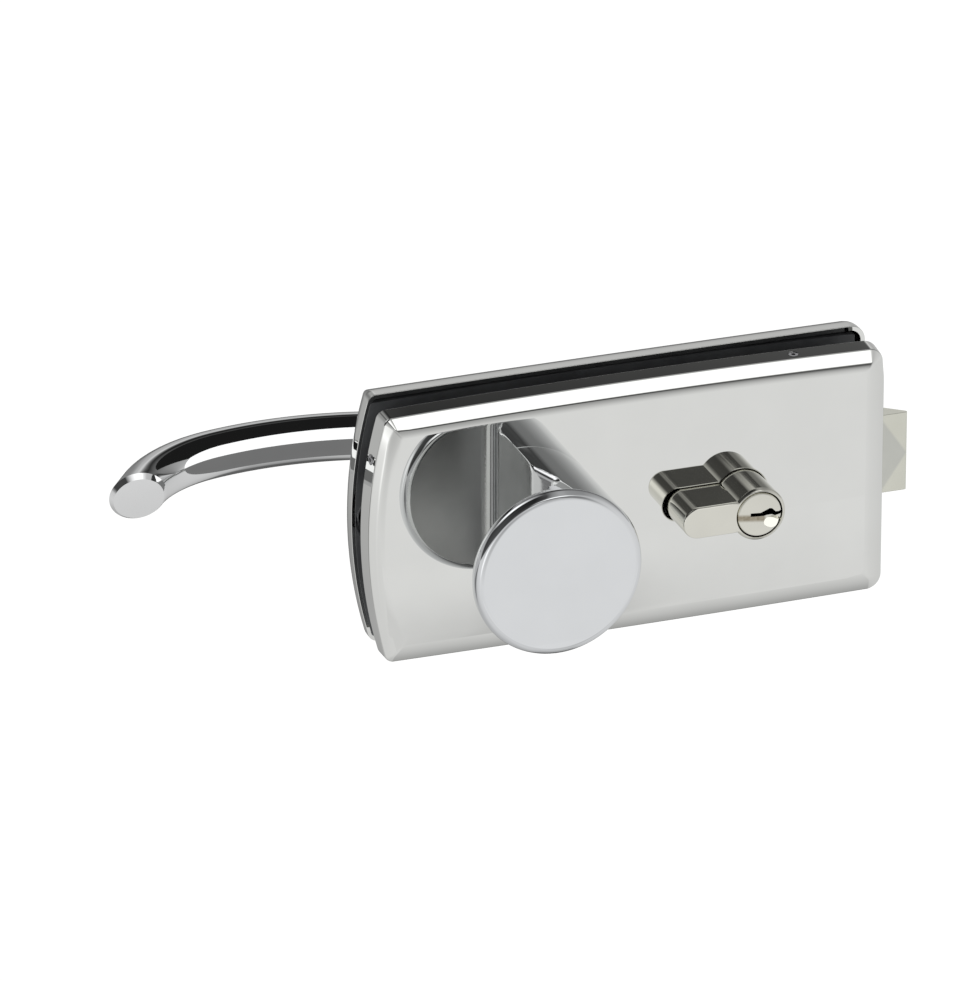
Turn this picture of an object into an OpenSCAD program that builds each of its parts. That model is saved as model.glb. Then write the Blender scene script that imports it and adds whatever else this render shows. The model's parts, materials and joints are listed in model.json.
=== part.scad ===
// Lever and pull-knob lock for a frameless glass door.
// Frame: X along the lock (latch side positive), Y through the door
// (knob side negative, lever side positive), Z up. The origin is where the
// spindle axis crosses the middle of the glass.

/* [Covers] */
// Left end of the covers at mid-height, from the spindle axis
cover_left = 47.6; // [47:0.1:49]
// Right end of the covers, from the spindle axis
cover_right = 118.5; // [118:0.1:119]
// Top of the covers above the spindle axis
cover_top = 42.3; // [42:0.1:44]
// Bottom of the covers below the spindle axis
cover_bottom = 39.3; // [38.8:0.1:40]
// Radius of the curved left end
end_radius = 142; // [130:2:180]
// Rise of the front cover's arched top edge
top_rise = 1.2; // [0.4:0.1:1.4]
// Rise of the back cover's flatter top edge
back_rise = 0.3; // [0.2:0.1:1.4]
// Drop of the arched bottom edge
bottom_drop = 0.4; // [0.2:0.1:1]
// Sheet thickness of the cover walls
cover_wall = 1.4; // [1:0.1:1.5]
// Front face of the front cover, from the middle of the glass
front_face = 14.2; // [14:0.1:15]
// Back face of the back cover, from the middle of the glass
back_face = 17.2; // [17:0.1:18]
// Height of the bevel along the front cover's edges
front_bevel = 3.6; // [2:0.1:4.5]
// Height of the shoulder along the back cover's edges
back_bevel = 6; // [5:0.1:7]

/* [Glass] */
// Thickness of the glass
glass_t = 8; // [8:0.1:8]

/* [Knob] */
// Diameter of the pull knob
knob_d = 53; // [50:0.5:56]
// Height of the knob above the front face
knob_h = 35.4; // [34:0.1:38]
// Thickness of the knob's front disc
knob_disc = 5.8; // [5.4:0.1:6.4]
// Radius of the corner where the finger recess meets the disc's back
scoop_r = 3.5; // [2.5:0.1:4]
// Radius of the rounded edge of the knob's front face
knob_round = 2.6; // [1.5:0.1:3]

/* [Cylinder] */
// Distance from the spindle axis to the cylinder's rotor axis
cyl_x = 71.4; // [71:0.1:72]
// Length of the cylinder each side of the middle of the glass
cyl_half = 29.4; // [29:0.1:33]

/* [Latch] */
// Reach of the latch nose from the spindle axis
latch_tip = 128.9; // [128:0.1:130]
// Height of the latch bolt
latch_h = 25.8; // [24:0.1:26]

/* [Lever] */
// Diameter of the lever bar
bar_d = 14.8; // [14:0.1:15.2]
// Height of the lever's neck before the elbow
neck_top = 36.7; // [34:0.1:40]
// Elbow radius
elbow_r = 32.4; // [30:0.1:34]
// Radius of the slightly bowed grip
grip_r = 100; // [90:1:120]
// Radius of the bend at the lever's end
end_r = 45; // [40:1:48]
// Distance of the cut end from the middle of the glass
end_cut = 46.9; // [44:0.1:49]

/* [Hidden] */
xm = (cover_right - cover_left) / 2;
half_l = (cover_right + cover_left) / 2;
zm = (cover_top - cover_bottom) / 2;
top_r = half_l * half_l / 2 / top_rise;
back_r = half_l * half_l / 2 / back_rise;
bot_r = half_l * half_l / 2 / bottom_drop;
rim = glass_t / 2 + 0.2;
front_rim = rim + 1.4;
front_crease = front_face - 2;
back_crease = 8.6;
face_t = 1.5;
gasket_in = glass_t / 2;
plate_in = 7;
plate_out = 10;
knob_r = knob_d / 2;
knob_y = -front_face - knob_h;
prof_r = 8.5;
prof_tail = 5;
prof_len = 33;
tail_x = cyl_x + prof_r - prof_len + prof_tail;
plug_r = 7.3;
bore_r = 7.35;
cam_r = 15.2;
pin_pitch = 3.8;
latch_z0 = zm + 1 - latch_h / 2;
latch_z1 = latch_z0 + latch_h;
bar_r = bar_d / 2;
case_x0 = -24;
case_x1 = 115.5;
case_z0 = -24;
case_z1 = 28;
case_w = 1.2;
lid_y = plate_in - case_w;
sleeve_x = -37;
bosses = [[-16, -16], [106, -17], [108, 21.5], [17, 13.5]];
lid_bosses = [[-19.5, 2], [38, -19.5], [86, -19.5]];
knob_bolts = [[9.5, 14], [9.5, -14], [21, 0]];
stem_x = -0.65;
slant = 23;
bend_r = 10;
bend_q = 12;
disc_q = knob_h - knob_disc;
slant_q = disc_q - scoop_r * (1 + sin(slant));
slant_x = stem_x + bend_r * (1 - cos(slant)) + (slant_q - bend_q - bend_r * sin(slant)) * tan(slant);
cover_bolts = [[-34, 28], [-34, -24], [105, 32], [105, -28.5]];

// Outline of the covers, moved inwards by i: the top and bottom edges are
// very shallow arcs, the left end a wider arc and the right end straight.
function top_z(x, i, tr) = cover_top - i - (x - xm) * (x - xm) / 2 / tr;
function bot_z(x, i) = -cover_bottom + i + (x - xm) * (x - xm) / 2 / bot_r;
function left_x(z, i) = -cover_left + i + (z - zm) * (z - zm) / 2 / end_radius;
function outline(i, tr) = let(
        rr = max(5 - i, 0.8),
        rl = max(3 - i, 0.8),
        xr = cover_right - i,
        tl_z = top_z(3 - cover_left, i, tr) + 0.1 - 0.75 * rl,
        bl_z = -cover_bottom + i + 0.5 + 0.75 * rl,
        tl_x = left_x(tl_z, i) + 0.97 * rl,
        bl_x = left_x(bl_z, i) + 0.97 * rl
    ) concat(
        [for (k = [0:6]) let(a = -90 + 15 * k)
            [xr - rr + rr * cos(a), bot_z(xr - rr, i) + rr + rr * sin(a)]],
        [for (k = [0:6]) let(a = 15 * k)
            [xr - rr + rr * cos(a), top_z(xr - rr, i, tr) - rr + rr * sin(a)]],
        [for (k = [1:11]) let(x = xr - rr + (tl_x - xr + rr) * k / 12)
            [x, top_z(x, i, tr)]],
        [for (k = [0:5]) let(a = 90 + 15.2 * k)
            [tl_x + rl * cos(a), top_z(tl_x, i, tr) - rl + rl * sin(a)]],
        [for (k = [1:17]) let(z = tl_z + (bl_z - tl_z) * k / 18)
            [left_x(z, i), z]],
        [for (k = [0:5]) let(a = 194 + 15.2 * k)
            [bl_x + rl * cos(a), bot_z(bl_x, i) + rl + rl * sin(a)]],
        [for (k = [1:11]) let(x = bl_x + (xr - rr - bl_x) * k / 12)
            [x, bot_z(x, i)]]
    );

// Plate shape from y0 to y1 with its outline in the X-Z plane
module ext(y0, y1) {
    translate([0, y1, 0]) rotate([90, 0, 0]) linear_extrude(y1 - y0) children();
}
// Round bars along the three axes
module cy(y0, y1, r, x = 0, z = 0) {
    translate([x, y1, z]) rotate([90, 0, 0]) cylinder(h = y1 - y0, r = r, $fn = 72);
}
module cx(x0, x1, r, y = 0, z = 0) {
    translate([x0, y, z]) rotate([0, 90, 0]) cylinder(h = x1 - x0, r = r, $fn = 48);
}
module cz(z0, z1, r, x = 0, y = 0) {
    translate([x, y, z0]) cylinder(h = z1 - z0, r = r, $fn = 48);
}
// Cone along Y, radius r0 at y0 and r1 at y1
module cone(y0, y1, r0, r1, x = 0, z = 0) {
    translate([x, y1, z]) rotate([90, 0, 0])
        cylinder(h = y1 - y0, r1 = r1, r2 = r0, $fn = 72);
}
module box(x0, x1, y0, y1, z0, z1) {
    translate([x0, y0, z0]) cube([x1 - x0, y1 - y0, z1 - z0]);
}
module slab(y0, y1, i, tr = top_r) {
    ext(y0, y1) polygon(outline(i, tr));
}
module back_slab(y0, y1, i) slab(y0, y1, i, back_r);
// Euro profile section, grown by c, with its tail longer by t
module profile2d(c = 0, t = 0) {
    translate([cyl_x, 0]) circle(r = prof_r + c, $fn = 96);
    translate([tail_x - t, 0]) circle(r = prof_tail + c, $fn = 72);
    translate([tail_x - t, -prof_tail - c])
        square([cyl_x - tail_x + t, 2 * (prof_tail + c)]);
}
// Screw along Y: flat countersunk head at y_head, tip at y_tip
module csk_screw(x, z, y_head, y_tip, r, rh, hex = 1.2) {
    s = y_head > y_tip ? 1 : -1;
    depth = rh - r;
    difference() {
        union() {
            if (s > 0) cone(y_head - depth, y_head, r, rh, x, z);
            else cone(y_head, y_head + depth, rh, r, x, z);
            cy(min(y_tip, y_head - s * depth), max(y_tip, y_head - s * depth), r, x, z);
        }
        translate([x, y_head - s * 1.1, z]) rotate([90, 0, 0])
            cylinder(h = 2.4, r = hex, center = true, $fn = 6);
    }
}
module csk_hole(x, z, y_head, y_tip, r, rh) {
    s = y_head > y_tip ? 1 : -1;
    depth = rh - r;
    cy(min(y_tip, y_head), max(y_tip, y_head), r, x, z);
    if (s > 0) cone(y_head - depth, y_head, r, rh, x, z);
    else cone(y_head, y_head + depth, rh, r, x, z);
}

// Bevelled tray with an open rim towards the glass
module front_cover() color([0.82, 0.83, 0.83]) difference() {
    union() {
        slab(-front_crease, -front_rim, 0);
        hull() {
            slab(-front_crease - 0.01, -front_crease, 0);
            slab(-front_face, -front_face + 0.01, front_bevel);
        }
    }
    slab(-front_crease, -front_rim + 1, cover_wall);
    hull() {
        slab(-front_crease - 0.01, -front_crease, cover_wall);
        slab(-front_face + face_t, -front_face + face_t + 0.01, front_bevel + 0.6);
    }
    ext(-front_face - 1, -front_face + face_t + 1) profile2d(0.35, 0.75);
    for (p = knob_bolts) cy(-front_face - 1, -front_face + face_t + 1, 2.15, p[0], p[1]);
    box(cover_right - 3, cover_right + 1, -6.2, -front_rim + 1, latch_z0 - 0.6, latch_z1 + 0.6);
    cz(30, 50, 1.6, 90, -8.5);
    cz(-50, -30, 1.6, 90, -8.5);
    cx(-50, -36, 1.6, -8.5, 27);
}

module back_cover() color([0.82, 0.83, 0.83]) difference() {
    union() {
        back_slab(rim, back_crease, 0);
        hull() {
            back_slab(back_crease, back_crease + 0.01, 0);
            back_slab(back_face - 3.4, back_face - 3.39, back_bevel * 0.36);
            back_slab(back_face - 0.01, back_face, back_bevel);
        }
    }
    back_slab(rim - 1, back_crease, cover_wall);
    hull() {
        back_slab(back_crease, back_crease + 0.01, cover_wall);
        back_slab(back_face - 4.6, back_face - 4.59, back_bevel * 0.36 + 1.4);
        back_slab(back_face - face_t - 0.01, back_face - face_t, back_bevel + 1);
    }
    ext(back_face - face_t - 1, back_face + 1) profile2d(0.35, 0.75);
    cy(back_face - face_t - 1, back_face + 1, 10.05);
    for (a = [90, 210, 330])
        cy(back_face - face_t - 1, back_face + 1, 1.6, 12.4 * cos(a), 12.4 * sin(a));
    box(cover_right - 3, cover_right + 1, rim - 1, 6.2, latch_z0 - 0.6, latch_z1 + 0.6);
    for (p = cover_bolts) csk_hole(p[0], p[1], back_face + 0.001, back_face - 4, 2.1, 3.9);
}

// Steel clamp plates
module front_plate() color([0.55, 0.56, 0.58]) difference() {
    slab(-plate_out, -plate_in, 2.6);
    ext(-plate_out - 1, -plate_in + 1) profile2d(0.5);
    for (p = bosses) cy(-plate_out - 1, -plate_in + 1, 2.55, p[0], p[1]);
    cy(-plate_out - 1, -plate_in + 1, 3.05, sleeve_x, zm);
    for (p = knob_bolts) csk_hole(p[0], p[1], -plate_in + 0.001, -plate_out - 1, 2.1, 3.95);
    cz(33, 42, 1.55, 90, -8.5);
    cz(-42, -29, 1.55, 90, -8.5);
    cx(-46, -37.5, 1.55, -8.5, 27);
}

module back_plate() color([0.55, 0.56, 0.58]) difference() {
    slab(plate_in, plate_out, 3.4);
    ext(plate_in - 1, plate_out + 1) profile2d(0.5);
    cy(plate_in - 1, plate_out + 1, 7.5);
    for (p = bosses) csk_hole(p[0], p[1], plate_out + 0.001, plate_in - 1, 2.6, 5.0);
    csk_hole(sleeve_x, zm, plate_out + 0.001, plate_in - 1, 3.1, 5.8);
    for (p = cover_bolts) cy(plate_in - 1, plate_out + 1, 2.05, p[0], p[1]);
}

// Rubber pads that bear on the glass, cut away round the case
module pad(y0, y1) difference() {
    intersection() {
        slab(y0, y1, 1.8);
        box(-60, cover_right - 3.5, y0 - 1, y1 + 1, -60, 60);
    }
    box(case_x0 - 0.4, 130, y0 - 1, y1 + 1, case_z0 - 0.4, case_z1 + 0.4);
    cy(y0 - 1, y1 + 1, 8.6, sleeve_x, zm);
}
module front_gasket() color([0.28, 0.29, 0.3]) pad(-plate_in, -gasket_in);
module back_gasket() color([0.28, 0.29, 0.3]) pad(gasket_in, plate_in);

module knob_spacer() color([0.6, 0.61, 0.63]) difference() {
    cy(-front_face + face_t, -plate_out, 25);
    for (p = knob_bolts) cy(-front_face, -plate_out + 1, 2.15, p[0], p[1]);
}

// Outline of what is cut away behind the knob's disc, depth measured from
// the front face: the stem's side is upright, then slants away under the
// disc and turns into the disc's back
function scoop() = concat(
    [[-60, -1], [stem_x, -1]],
    [for (k = [0:8]) let(a = slant * k / 8)
        [stem_x + bend_r * (1 - cos(a)), bend_q + bend_r * sin(a)]],
    [for (k = [0:12]) let(a = -slant + (90 + slant) * k / 12)
        [slant_x + scoop_r * (cos(a) - cos(slant)), disc_q - scoop_r + scoop_r * sin(a)]],
    [[-60, disc_q]]);

// Pull knob: a disc in front, a half-round stem behind it, and a
// finger recess on the left
function knob_edge(a) = [knob_r - knob_round + knob_round * cos(a), knob_h - knob_round + knob_round * sin(a)];
module knob() color([0.84, 0.85, 0.86]) difference() {
    translate([0, -front_face, 0]) rotate([90, 0, 0]) rotate_extrude($fn = 120)
        polygon(concat([[0, 0], [knob_r, 0], [knob_r, knob_h - knob_round]],
            [for (k = [1:8]) knob_edge(90 * k / 8)],
            [[0, knob_h]]));
    translate([0, -front_face, -45]) mirror([0, 1, 0]) linear_extrude(90) polygon(scoop());
    for (p = knob_bolts) cy(-front_face - 11, -front_face + 1, 2.05, p[0], p[1]);
}
module knob_screws() color([0.5, 0.5, 0.52])
    for (p = knob_bolts) csk_screw(p[0], p[1], -plate_in - 0.02, -front_face - 10, 2, 3.85);

// Case tray with its bosses, posts and bracket
module lock_case() color([0.62, 0.63, 0.65]) difference() {
    union() {
        difference() {
            box(case_x0, case_x1, -plate_in, lid_y, case_z0, case_z1);
            box(case_x0 + case_w, case_x1 - case_w, -lid_y, lid_y + 1,
                case_z0 + case_w, case_z1 - case_w);
        }
        for (p = bosses) cy(-lid_y - 0.2, lid_y, 4.5, p[0], p[1]);
        for (p = lid_bosses) cy(-lid_y - 0.2, lid_y, 2.8, p[0], p[1]);
        cy(-lid_y - 0.2, lid_y, 1.5, 4.6, 15);
        box(24, 26, -lid_y - 0.2, lid_y, -17.5, -10.5);
        box(tail_x - 7, tail_x + 6, -lid_y - 0.2, lid_y, -18, -16);
    }
    box(case_x1 - 3, case_x1 + 1, -lid_y, lid_y + 1, latch_z0 - 0.4, latch_z1 + 0.4);
    for (p = bosses) cy(-plate_in - 1, lid_y + 1, 2.6, p[0], p[1]);
    for (p = lid_bosses) cy(-3, lid_y + 1, 1.55, p[0], p[1]);
    cy(-plate_in - 1, -lid_y + 1, 7.05);
    ext(-plate_in - 1, -lid_y + 1) profile2d(0.2);
    cz(-25, -22, 4.7, tail_x - 0.7, 0);
    cz(-19, -15, 2.7, tail_x - 0.7, 0);
}
module case_lid() color([0.66, 0.67, 0.69]) difference() {
    box(case_x0, case_x1, lid_y, plate_in, case_z0, case_z1);
    cy(lid_y - 1, plate_in + 1, 7.05);
    ext(lid_y - 1, plate_in + 1) profile2d(0.2);
    for (p = bosses) cy(lid_y - 1, plate_in + 1, 2.6, p[0], p[1]);
    for (p = lid_bosses) csk_hole(p[0], p[1], plate_in + 0.001, lid_y - 1, 1.6, 2.75);
}
module case_lid_screws() color([0.5, 0.5, 0.52])
    for (p = lid_bosses) csk_screw(p[0], p[1], plate_in - 0.02, -2.5, 1.5, 2.65, 0.8);
module clamp_screws() color([0.5, 0.5, 0.52])
    for (p = bosses) csk_screw(p[0], p[1], plate_out - 0.02, -plate_out + 0.1, 2.5, 4.85, 1.6);
module left_sleeve() color([0.75, 0.75, 0.76]) difference() {
    cy(-plate_in, plate_in, 7, sleeve_x, zm);
    cy(-plate_in - 1, plate_in + 1, 3.1, sleeve_x, zm);
}
module left_clamp_screw() color([0.5, 0.5, 0.52])
    csk_screw(sleeve_x, zm, plate_out - 0.02, -plate_out + 0.1, 3, 5.65, 1.9);
// Set screws through the front cover's walls into the plate's edge
module grub(l, r) difference() {
    cylinder(h = l, r = r, $fn = 48);
    translate([0, 0, l - 1.2]) cylinder(h = 2, r = r * 0.5, $fn = 6);
}
module cover_grub_screws() color([0.7, 0.7, 0.72]) {
    translate([90, -8.5, 35]) grub(6.4, 1.5);
    translate([90, -8.5, -31]) rotate([180, 0, 0]) grub(7.7, 1.5);
    translate([-39, -8.5, 27]) rotate([0, -90, 0]) grub(6.4, 1.5);
}
module back_cover_screws() color([0.72, 0.73, 0.75])
    for (p = cover_bolts) csk_screw(p[0], p[1], back_face - 0.05, plate_in + 0.4, 2, 3.75, 1.4);

// Bearing collar of the lever
module lever_bush() color([0.82, 0.83, 0.83]) difference() {
    union() {
        translate([0, back_face, 0]) rotate([-90, 0, 0]) rotate_extrude($fn = 96)
            polygon([[0, 0], [15.5, 0], [15.5, 2.2], [14.5, 3.2], [0, 3.2]]);
        cy(back_face - 2.8, back_face + 0.1, 10);
    }
    cy(back_face - 4, back_face + 5, 8.05);
    for (a = [90, 210, 330])
        cy(back_face - 1, back_face + 2.4, 1.55, 12.4 * cos(a), 12.4 * sin(a));
}
module bush_screws() color([0.5, 0.5, 0.52]) for (a = [90, 210, 330]) {
    cy(back_face - face_t - 1.5, back_face - face_t, 2.2, 12.4 * cos(a), 12.4 * sin(a));
    cy(back_face - face_t - 0.1, back_face + 2.2, 1.5, 12.4 * cos(a), 12.4 * sin(a));
}

// Euro profile cylinder, lying with its tail towards the knob
module cylinder_body() color([0.78, 0.77, 0.72]) difference() {
    ext(-cyl_half, cyl_half) profile2d(0);
    cy(-cyl_half - 1, cyl_half + 1, bore_r, cyl_x);
    cy(-5.1, 5.1, cam_r + 0.3, cyl_x);
    for (s = [-1, 1], k = [0:4]) cx(tail_x - 6, cyl_x - 5, 1.5, s * (10.4 + pin_pitch * k), 0);
    cz(-6, 6, 2.55, tail_x - 0.7, 0);
}
module cylinder_screw() color([0.5, 0.5, 0.52]) difference() {
    union() {
        cz(-18, 4, 2.5, tail_x - 0.7, 0);
        cz(-21.5, -18, 4.3, tail_x - 0.7, 0);
    }
    translate([tail_x - 0.7, 0, -22]) cylinder(h = 2.5, r = 2, $fn = 6);
}
module driver_pins() color([0.83, 0.72, 0.4])
    for (s = [-1, 1], k = [0:4]) cx(cyl_x - 15, cyl_x - 7.45, 1.4, s * (10.4 + pin_pitch * k), 0);
module pin_plugs() color([0.83, 0.72, 0.4])
    for (s = [-1, 1], k = [0:4]) cx(tail_x - 4.3, tail_x - 2.5, 1.45, s * (10.4 + pin_pitch * k), 0);
// Coil spring along X as a row of rings joined by a thin strip
module coil_x(x0, x1, n, rm, rw, y, z) {
    p = (x1 - x0 - 2 * rw) / (n - 1);
    for (k = [0:n - 1]) translate([x0 + rw + p * k, y, z]) rotate([0, 90, 0])
        rotate_extrude($fn = 32) translate([rm, 0]) circle(r = rw, $fn = 16);
    box(x0 + rw, x1 - rw, y - rw * 0.7, y + rw * 0.7, z + rm - rw * 0.7, z + rm + rw * 0.7);
}
module pin_springs() color([0.6, 0.6, 0.62])
    for (s = [-1, 1], k = [0:4])
        coil_x(tail_x - 2.4, cyl_x - 15.1, 4, 1, 0.25, s * (10.4 + pin_pitch * k), 0);

// Rotor: s is -1 for the front one and 1 for the rear one
module plug(s) difference() {
    union() {
        if (s < 0) cy(-cyl_half, -4.2, plug_r, cyl_x);
        else cy(4.2, cyl_half, plug_r, cyl_x);
    }
    // retaining groove
    difference() {
        cy(min(s * 4.4, s * 5.1), max(s * 4.4, s * 5.1), 9, cyl_x);
        cy(min(s * 4, s * 6), max(s * 4, s * 6), 6.4, cyl_x);
    }
    // stepped keyway
    ext(s < 0 ? -cyl_half - 1 : 7, s < 0 ? -7 : cyl_half + 1) {
        translate([cyl_x - 3, -0.4]) square([5.4, 1.1]);
        translate([cyl_x + 1.4, -0.4]) square([2.6, 2.1]);
        translate([cyl_x + 2, -0.7]) square([7, 1.4]);
    }
    for (k = [0:4]) cx(cyl_x - 9, cyl_x - 2.1, 1.45, s * (10.4 + pin_pitch * k), 0);
}
module key_pins(s)
    for (k = [0:4]) cx(cyl_x - 7, cyl_x - 2.2, 1.4, s * (10.4 + pin_pitch * k), 0);
module clip(s) difference() {
    cy(min(s * 4.45, s * 5.05), max(s * 4.45, s * 5.05), 8.3, cyl_x);
    cy(-6, 6, 6.45, cyl_x);
    box(cyl_x - 1.5, cyl_x + 1.5, -6, 6, 0, 10);
}
module front_plug() color([0.76, 0.75, 0.7]) plug(-1);
module rear_plug() color([0.76, 0.75, 0.7]) plug(1);
module front_key_pins() color([0.83, 0.72, 0.4]) key_pins(-1);
module rear_key_pins() color([0.83, 0.72, 0.4]) key_pins(1);
module front_clip() color([0.5, 0.5, 0.52]) clip(-1);
module rear_clip() color([0.5, 0.5, 0.52]) clip(1);
module cam() color([0.6, 0.6, 0.58]) {
    cy(-4, 4, 7.2, cyl_x);
    intersection() {
        box(cyl_x - 20, cyl_x, -4, 4, -3.4, 3.4);
        cy(-5, 5, cam_r, cyl_x);
    }
}

// Latch: a head with its bevel on the lever side, and a tail bar that
// passes above the cylinder to the hub's finger
module latch_bolt() color([0.8, 0.8, 0.77]) {
    translate([0, 0, latch_z0]) linear_extrude(latch_h)
        polygon([[98, -5.5], [latch_tip, -5.5], [latch_tip, -4.7],
            [latch_tip - 12.4, 5.5], [98, 5.5]]);
    box(93.5, 98.5, -2, 2, 12, 25.5);
    box(-8, 94, -2, 2, 20.5, 25.5);
    box(-8, -3.2, -2, 2, 11, 21);
    box(42, 45, -2, 2, 9.5, 21);
    box(60, 64, -2, 2, 15.8, 21);
    cx(36, 42.5, 1.5, 0, 13);
}
module latch_spring() color([0.62, 0.62, 0.64]) coil_x(21.7, 41.9, 8, 2.3, 0.4, 0, 13);

// Hub turned by the spindle: the upper finger draws the latch, and the
// lower one presses the return spring
module hub() color([0.58, 0.58, 0.56]) difference() {
    union() {
        cy(-5.4, 5.4, 11);
        cy(-plate_in + 0.1, plate_in - 0.1, 7);
        ext(-3, 3) {
            translate([-2.5, -14]) square([5, 31.5]);
            translate([0, 17.5]) circle(r = 2.5, $fn = 48);
            translate([0, -14]) circle(r = 2.5, $fn = 48);
        }
    }
    box(-4.05, 4.05, -8, 8, -4.05, 4.05);
}
module hub_spring() color([0.62, 0.62, 0.64]) coil_x(2.8, 23.9, 8, 2.3, 0.4, 0, -14);
module spindle() color([0.6, 0.6, 0.62]) box(-4, 4, -5.4, 38, -4, 4);

// Lever: neck, elbow, bowed grip and an end turned back to the door
grip_a = 26.5;
end_a = 42.5;
p1 = [-elbow_r + elbow_r * cos(75), neck_top + elbow_r * sin(75)];
c2 = [p1[0] - grip_r * cos(75), p1[1] - grip_r * sin(75)];
a2 = 75 + grip_a;
p2 = [c2[0] + grip_r * cos(a2), c2[1] + grip_r * sin(a2)];
c3 = [p2[0] - end_r * cos(a2), p2[1] - end_r * sin(a2)];
a3 = a2 + end_a;
p3 = [c3[0] + end_r * cos(a3), c3[1] + end_r * sin(a3)];
// the grip and the end run a hair slimmer and start inside their neighbours
bar_in = bar_r - 0.04;
module bend(c, r, a0, a1, br) {
    translate([c[0], c[1], 0]) rotate([0, 0, a0])
        rotate_extrude(angle = a1 - a0, $fn = 96) translate([r, 0]) circle(r = br, $fn = 48);
}
module lever() color([0.84, 0.85, 0.86]) difference() {
    union() {
        cy(12.5, 24, 8);
        cy(20, neck_top, bar_r);
        bend([-elbow_r, neck_top], elbow_r, 0, 75, bar_r);
        bend(c2, grip_r, 74.5, a2 + 0.5, bar_in);
        bend(c3, end_r, a2, a3, bar_r);
        translate([p3[0], p3[1], 0]) rotate([0, 0, a3]) translate([0, -0.6, 0])
            rotate([-90, 0, 0]) cylinder(h = 16.6, r = bar_in, $fn = 48);
    }
    box(-150, -60, 20, end_cut, -20, 20);
    box(-4.05, 4.05, 10, 38.3, -4.05, 4.05);
    cz(-12, -4, 2.05, 0, 30);
}
module lever_set_screw() color([0.45, 0.45, 0.47]) translate([0, 30, -4.1]) rotate([180, 0, 0]) grub(3.1, 2);

front_cover();
back_cover();
front_plate();
back_plate();
front_gasket();
back_gasket();
knob_spacer();
knob();
knob_screws();
lock_case();
case_lid();
case_lid_screws();
clamp_screws();
left_sleeve();
left_clamp_screw();
cover_grub_screws();
back_cover_screws();
lever_bush();
bush_screws();
cylinder_body();
cylinder_screw();
driver_pins();
pin_springs();
pin_plugs();
front_plug();
front_key_pins();
front_clip();
cam();
rear_plug();
rear_key_pins();
rear_clip();
latch_bolt();
latch_spring();
hub();
hub_spring();
spindle();
lever();
lever_set_screw();
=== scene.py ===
import json
import math

import bmesh
import bpy
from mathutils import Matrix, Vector
from mathutils.geometry import delaunay_2d_cdt


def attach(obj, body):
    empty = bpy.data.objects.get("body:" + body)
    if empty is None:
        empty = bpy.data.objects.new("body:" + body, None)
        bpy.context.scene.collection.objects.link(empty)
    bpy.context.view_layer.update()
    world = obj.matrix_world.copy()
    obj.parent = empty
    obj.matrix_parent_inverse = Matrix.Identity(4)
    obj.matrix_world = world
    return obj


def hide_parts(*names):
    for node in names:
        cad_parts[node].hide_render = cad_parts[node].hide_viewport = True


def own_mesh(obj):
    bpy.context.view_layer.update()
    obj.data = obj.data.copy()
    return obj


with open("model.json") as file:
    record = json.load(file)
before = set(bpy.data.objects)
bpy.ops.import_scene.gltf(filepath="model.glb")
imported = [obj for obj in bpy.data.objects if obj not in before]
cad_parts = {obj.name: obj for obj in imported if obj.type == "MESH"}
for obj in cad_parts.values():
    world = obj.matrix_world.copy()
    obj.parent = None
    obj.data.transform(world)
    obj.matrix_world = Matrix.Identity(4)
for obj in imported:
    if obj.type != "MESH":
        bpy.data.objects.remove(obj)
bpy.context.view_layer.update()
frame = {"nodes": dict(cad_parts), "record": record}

scene = bpy.context.scene

# ------------------------------------------------------------------ camera
MM = 0.001


def make_camera():
    fwd = Vector((0.312, 0.858, -0.408)).normalized()
    right = fwd.cross(Vector((0, 0, 1))).normalized()
    up = right.cross(fwd).normalized()
    aim = Vector((0, -14.2, 0))
    place = aim - fwd * 3000 - right * 8.86 + up * 11.41
    data = bpy.data.cameras.new("camera")
    data.sensor_width = 36.0
    data.lens = 36.0 * 9990 / 980
    data.clip_start = 0.1
    data.clip_end = 60
    cam = bpy.data.objects.new("camera", data)
    scene.collection.objects.link(cam)
    cam.location = place * MM
    cam.rotation_mode = "QUATERNION"
    cam.rotation_quaternion = fwd.to_track_quat("-Z", "Y")
    scene.camera = cam


make_camera()
scene.view_settings.view_transform = "Standard"
scene.view_settings.look = "None"
scene.view_settings.exposure = 0.0
scene.view_settings.gamma = 1.0

# --------------------------------------------------------------- materials


def shader(name):
    m = bpy.data.materials.new(name)
    m.use_nodes = True
    nt = m.node_tree
    return m, nt, nt.nodes["Principled BSDF"]


def coords(nt, scale=(1, 1, 1)):
    tc = nt.nodes.new("ShaderNodeTexCoord")
    mp = nt.nodes.new("ShaderNodeMapping")
    mp.inputs["Scale"].default_value = scale
    nt.links.new(tc.outputs["Object"], mp.inputs["Vector"])
    return mp.outputs["Vector"]


def noise(nt, vec, scale, detail=3.0, rough=0.55):
    n = nt.nodes.new("ShaderNodeTexNoise")
    n.inputs["Scale"].default_value = scale
    n.inputs["Detail"].default_value = detail
    n.inputs["Roughness"].default_value = rough
    nt.links.new(vec, n.inputs["Vector"])
    return n.outputs["Fac"]


def ranged(nt, val, lo, hi, a=0.3, b=0.7):
    r = nt.nodes.new("ShaderNodeMapRange")
    r.inputs["From Min"].default_value = a
    r.inputs["From Max"].default_value = b
    r.inputs["To Min"].default_value = lo
    r.inputs["To Max"].default_value = hi
    nt.links.new(val, r.inputs["Value"])
    return r.outputs["Result"]


def tinted(nt, val, c0, c1, a=0.35, b=0.65):
    r = nt.nodes.new("ShaderNodeValToRGB")
    r.color_ramp.elements[0].position = a
    r.color_ramp.elements[0].color = (*c0, 1)
    r.color_ramp.elements[1].position = b
    r.color_ramp.elements[1].color = (*c1, 1)
    nt.links.new(val, r.inputs["Fac"])
    return r.outputs["Color"]


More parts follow.
